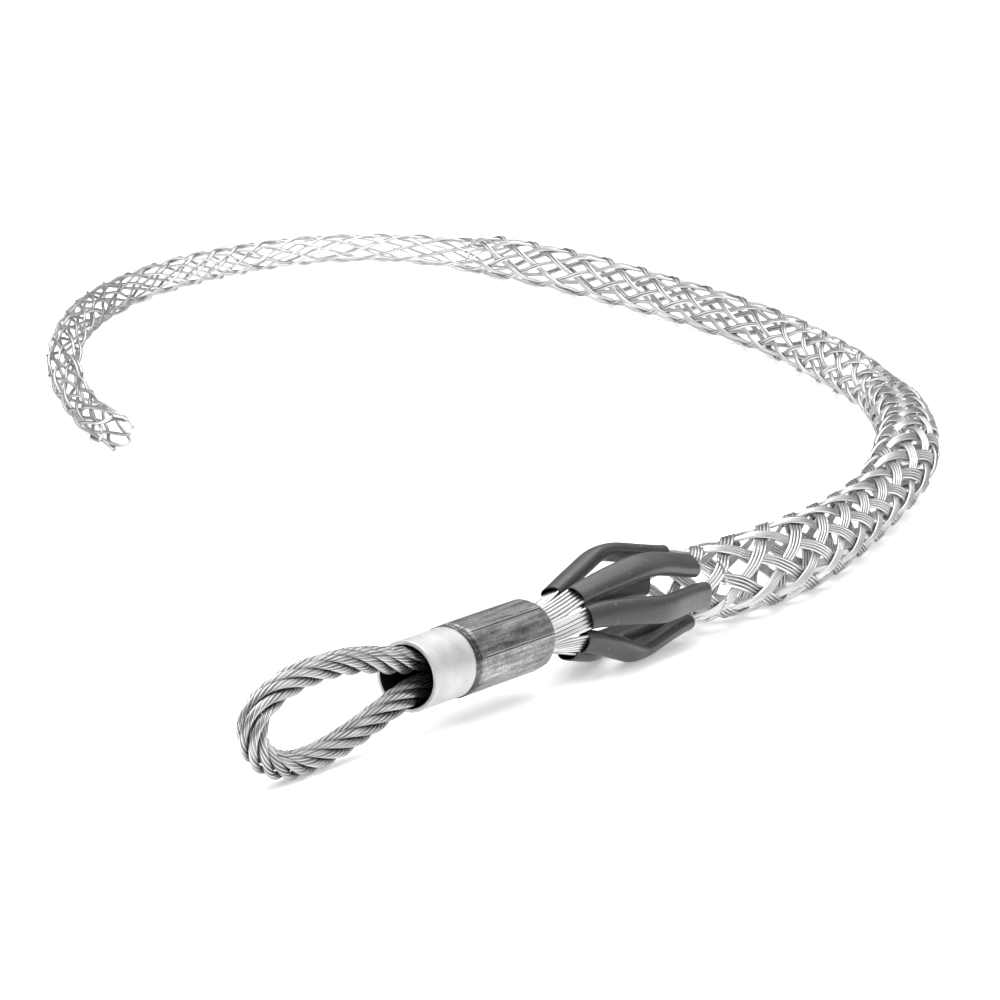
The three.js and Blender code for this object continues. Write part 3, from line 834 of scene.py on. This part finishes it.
# ---- lathed pieces: sleeve and ferrule -----------------------------------------
def lathe(name, profile, sides, materials, mat_of, shape=None, extra=None):
    """profile is [radius, y] round a closed loop; shape(radius, y, angle) gives the true radius."""
    b = Builder()
    profile = np.asarray(profile, float)
    ang = np.arange(sides) / sides * 2 * math.pi
    r = np.repeat(profile[:, :1], sides, 1)
    y = np.repeat(profile[:, 1:2], sides, 1)
    a = np.repeat(ang[None], len(profile), 0)
    if shape is not None:
        r, y = shape(r, y, a)
    grid = np.stack([r * np.sin(a), y, AXIS + r * np.cos(a)], -1)
    mm, kk = grid.shape[:2]
    b.v.append(grid.reshape(-1, 3))
    b.along.append(y.reshape(-1))
    b.tint.append(np.full(mm * kk, 0.5))
    i = np.arange(mm)[:, None]
    i2 = (i + 1) % mm
    j = np.arange(kk)[None]
    j2 = (j + 1) % kk
    b.f = np.stack([i * kk + j, i2 * kk + j, i2 * kk + j2, i * kk + j2], -1).reshape(-1, 4).tolist()
    b.mat = np.repeat([mat_of(profile[q], profile[(q + 1) % mm]) for q in range(mm)], kk).tolist()
    b.count = mm * kk
    ob = b.object(name, materials)
    if extra is not None:
        for key, fn in extra.items():
            at = ob.data.attributes.new(key, "FLOAT", "POINT")
            at.data.foreach_set("value", fn(r, y, a).reshape(-1).astype(np.float32))
    return fix_normals(ob)


def arc(cr, cy, rad, a0, a1, n):
    t = np.radians(np.linspace(a0, a1, n))
    return [[cr + rad * math.cos(q), cy + rad * math.sin(q)] for q in t]


# sleeve: rounded rim at the mouth, turned outside
sl_f, sl_r, so, si = -67.0, -43.5, 12.3, 10.9
rim = (so - si) / 2 - 0.05
prof = arc(so - 0.5, sl_f + 0.5, 0.5, 0, -90, 6)[0:6]
prof = [[so, y] for y in np.linspace(sl_r + 0.0, sl_f + 0.9, 24)] + arc(so - 0.45, sl_f + 0.45, 0.45, 0, -90, 6)
prof += arc(si + 0.35, sl_f + 0.35, 0.35, -90, -180, 6)
prof += [[si, y] for y in np.linspace(sl_f + 1.0, sl_r, 12)]


def sleeve_shape(r, y, a):
    return r + 0.035 * np.sin(3 * a + 0.6) * (r > si + 0.2) + 0.02 * np.sin(7 * a + 0.2 * y) * (r > si + 0.2), y


# painted shade: the sleeve's inner wall takes the near-black shade material
settle(lathe("eye_sleeve_shell", prof, 128, [aluminium, painted_shade_inside],
             lambda p, q: 1 if (p[0] < si + 0.02 and q[0] < si + 0.02) else 0, sleeve_shape), "aluminium", "eye_sleeve")

# ferrule: press flats with a ridge where the press jaws met, a rolled front edge
TURN = 11.0
FLAT, RIDGE_R = 12.45, 12.86
fe_f, fe_r = -43.2, 5.0


def ferrule_radius(a, y):
    u = (np.degrees(a) - TURN) % 45.0
    u = np.minimum(u, 45.0 - u)  # 0 at the middle of a flat, 22.5 at a ridge
    flat = FLAT / np.cos(np.radians(np.minimum(u, 19.0)))
    r = np.minimum(flat * 0.7 + RIDGE_R * 0.3, RIDGE_R)
    du = 22.5 - u
    r = r + 0.14 * np.exp(-((du - 1.6) / 1.2) ** 2) - 0.22 * np.exp(-(du / 0.9) ** 2)
    return r


def ferrule_shape(r, y, a):
    outer = r > 10.6
    full = ferrule_radius(a, y)
    # the ridges start behind the rolled edge and fade at the rear corner
    w = ease(y, -40.6, -38.2) * (1 - ease(y, 2.6, 4.6))
    ring = RIDGE_R - 0.12
    target = ring * (1 - w) + full * w
    out = np.where(outer, r - RIDGE_R + target, r)
    rag = 0.10 * np.sin(9 * a + 1.3) + 0.08 * np.sin(17 * a) + 0.06 * np.sin(31 * a + 2.0)
    out = out + np.where(outer & (y < -40.2), rag * 0.8, 0)
    y = y + np.where(outer & (y < -40.5), rag * 1.1 + 0.1, 0)
    return np.minimum(out, 12.98), np.clip(y, fe_f, fe_r)


prof = [[10.1, fe_f + 0.3], [10.5, fe_f], [11.6, fe_f], [12.3, fe_f + 0.12], [12.66, fe_f + 0.5], [12.84, fe_f + 1.1], [12.8, fe_f + 1.7], [12.62, fe_f + 2.25],
        [12.3, fe_f + 2.6], [12.36, fe_f + 3.0], [12.8, fe_f + 3.4]]
prof += [[RIDGE_R, y] for y in np.linspace(fe_f + 4.0, fe_r - 2.2, 46)]
prof += [[RIDGE_R - 2.0 + 2.0 * math.cos(q), fe_r - 2.0 + 2.0 * math.sin(q)] for q in np.radians(np.linspace(12, 90, 8))]
prof += [[9.2, fe_r], [7.9, fe_r - 0.1], [7.65, fe_r - 0.5], [7.65, -8], [7.65, -17], [10.1, -17], [10.1, -30]]


# painted highlight: a lighter line beside each press ridge and a lighter band along the rear rounded corner
def ferrule_edge_highlight(r, y, a):
    u = (np.degrees(a) - TURN) % 45.0
    u = np.minimum(u, 45.0 - u)
    du = 22.5 - u
    w = ease(y, -39.5, -38) * (1 - ease(y, 2.5, 5.0))
    v = np.exp(-((du - 2.0) / 1.0) ** 2) * w
    v = np.maximum(v, np.exp(-((y - (fe_r - 1.2)) / 0.9) ** 2) * 0.5 * (r > 10.6))
    return v * (r > 10.6)


# painted shade: a near-black line down each press ridge, in the notch behind the rolled front edge, and over the front
# edge where it meets the sleeve
def ferrule_crease_shade(r, y, a):
    u = (np.degrees(a) - TURN) % 45.0
    w = ease(y, -40.5, -38) * (1 - ease(y, 3.0, 5.0))
    v = np.exp(-((u - 22.5) / 0.9) ** 2) * w * 0.9
    v = np.maximum(v, np.exp(-((y - (fe_f + 2.7)) / 0.45) ** 2))
    v = np.maximum(v, 0.75 * (y < fe_f + 2.0))
    return v * (r > 10.6)


# painted shade: the ferrule's bore takes the near-black shade material
settle(lathe("ferrule_shell", prof, 480, [dark_steel, painted_shade_inside],
             lambda p, q: 1 if (p[0] < 10.3 and q[0] < 10.3 and min(p[1], q[1]) < 4.0) else 0,
             ferrule_shape, {"edge": ferrule_edge_highlight, "crease_shade": ferrule_crease_shade}), "dark_steel", "crimp_ferrule")

# ---- floor and light ------------------------------------------------------------
floor_mesh = bpy.data.meshes.new("floor")
R = 14.0
floor_mesh.from_pydata([(-R, -R, -0.00005), (R, -R, -0.00005), (R, R, -0.00005), (-R, R, -0.00005)], [], [(0, 1, 2, 3)])
floor = bpy.data.objects.new("floor", floor_mesh)
bpy.context.scene.collection.objects.link(floor)
fm, fnt, fb = material("floor_paper")
fb.inputs["Base Color"].default_value = (0.94, 0.94, 0.94, 1)
fb.inputs["Roughness"].default_value = 0.9
fb.inputs["Specular IOR Level"].default_value = 0.1
fb.inputs["Emission Color"].default_value = (1, 1, 1, 1)
fb.inputs["Emission Strength"].default_value = 0.36
floor_mesh.materials.append(fm)

world = bpy.data.worlds.new("studio")
bpy.context.scene.world = world
world.use_nodes = True
wn = world.node_tree
wn.nodes.clear()
wo = wn.nodes.new("ShaderNodeOutputWorld")
bg = wn.nodes.new("ShaderNodeBackground")
tc = wn.nodes.new("ShaderNodeTexCoord")
sep = wn.nodes.new("ShaderNodeSeparateXYZ")
wn.links.new(tc.outputs["Generated"], sep.inputs[0])
wr = wn.nodes.new("ShaderNodeValToRGB")
el = wr.color_ramp.elements
for pos, c in ((0.22, 0.24), (0.45, 0.72), (0.75, 0.96)):
    e = el.new(pos)
    e.color = (c, c, c, 1)
el[0].color = (0.13, 0.13, 0.13, 1)
el[-1].color = (1.0, 1.0, 1.0, 1)
wn.links.new(sep.outputs["Z"], wr.inputs[0])
wn.links.new(wr.outputs[0], bg.inputs[0])
bg.inputs[1].default_value = 1.05
wn.links.new(bg.outputs[0], wo.inputs[0])


sun = bpy.data.lights.new("key", "SUN")
sun.energy = 2.5
sun.angle = math.radians(75.0)
key = bpy.data.objects.new("key", sun)
bpy.context.scene.collection.objects.link(key)
key.location = (0.0, 0.0, 2.0)
key.rotation_euler = Vector((-0.12, 0.16, 1.0)).to_track_quat("Z", "Y").to_euler()

# ---- update the scene --------------------------------------------------------------
bpy.context.view_layer.update()
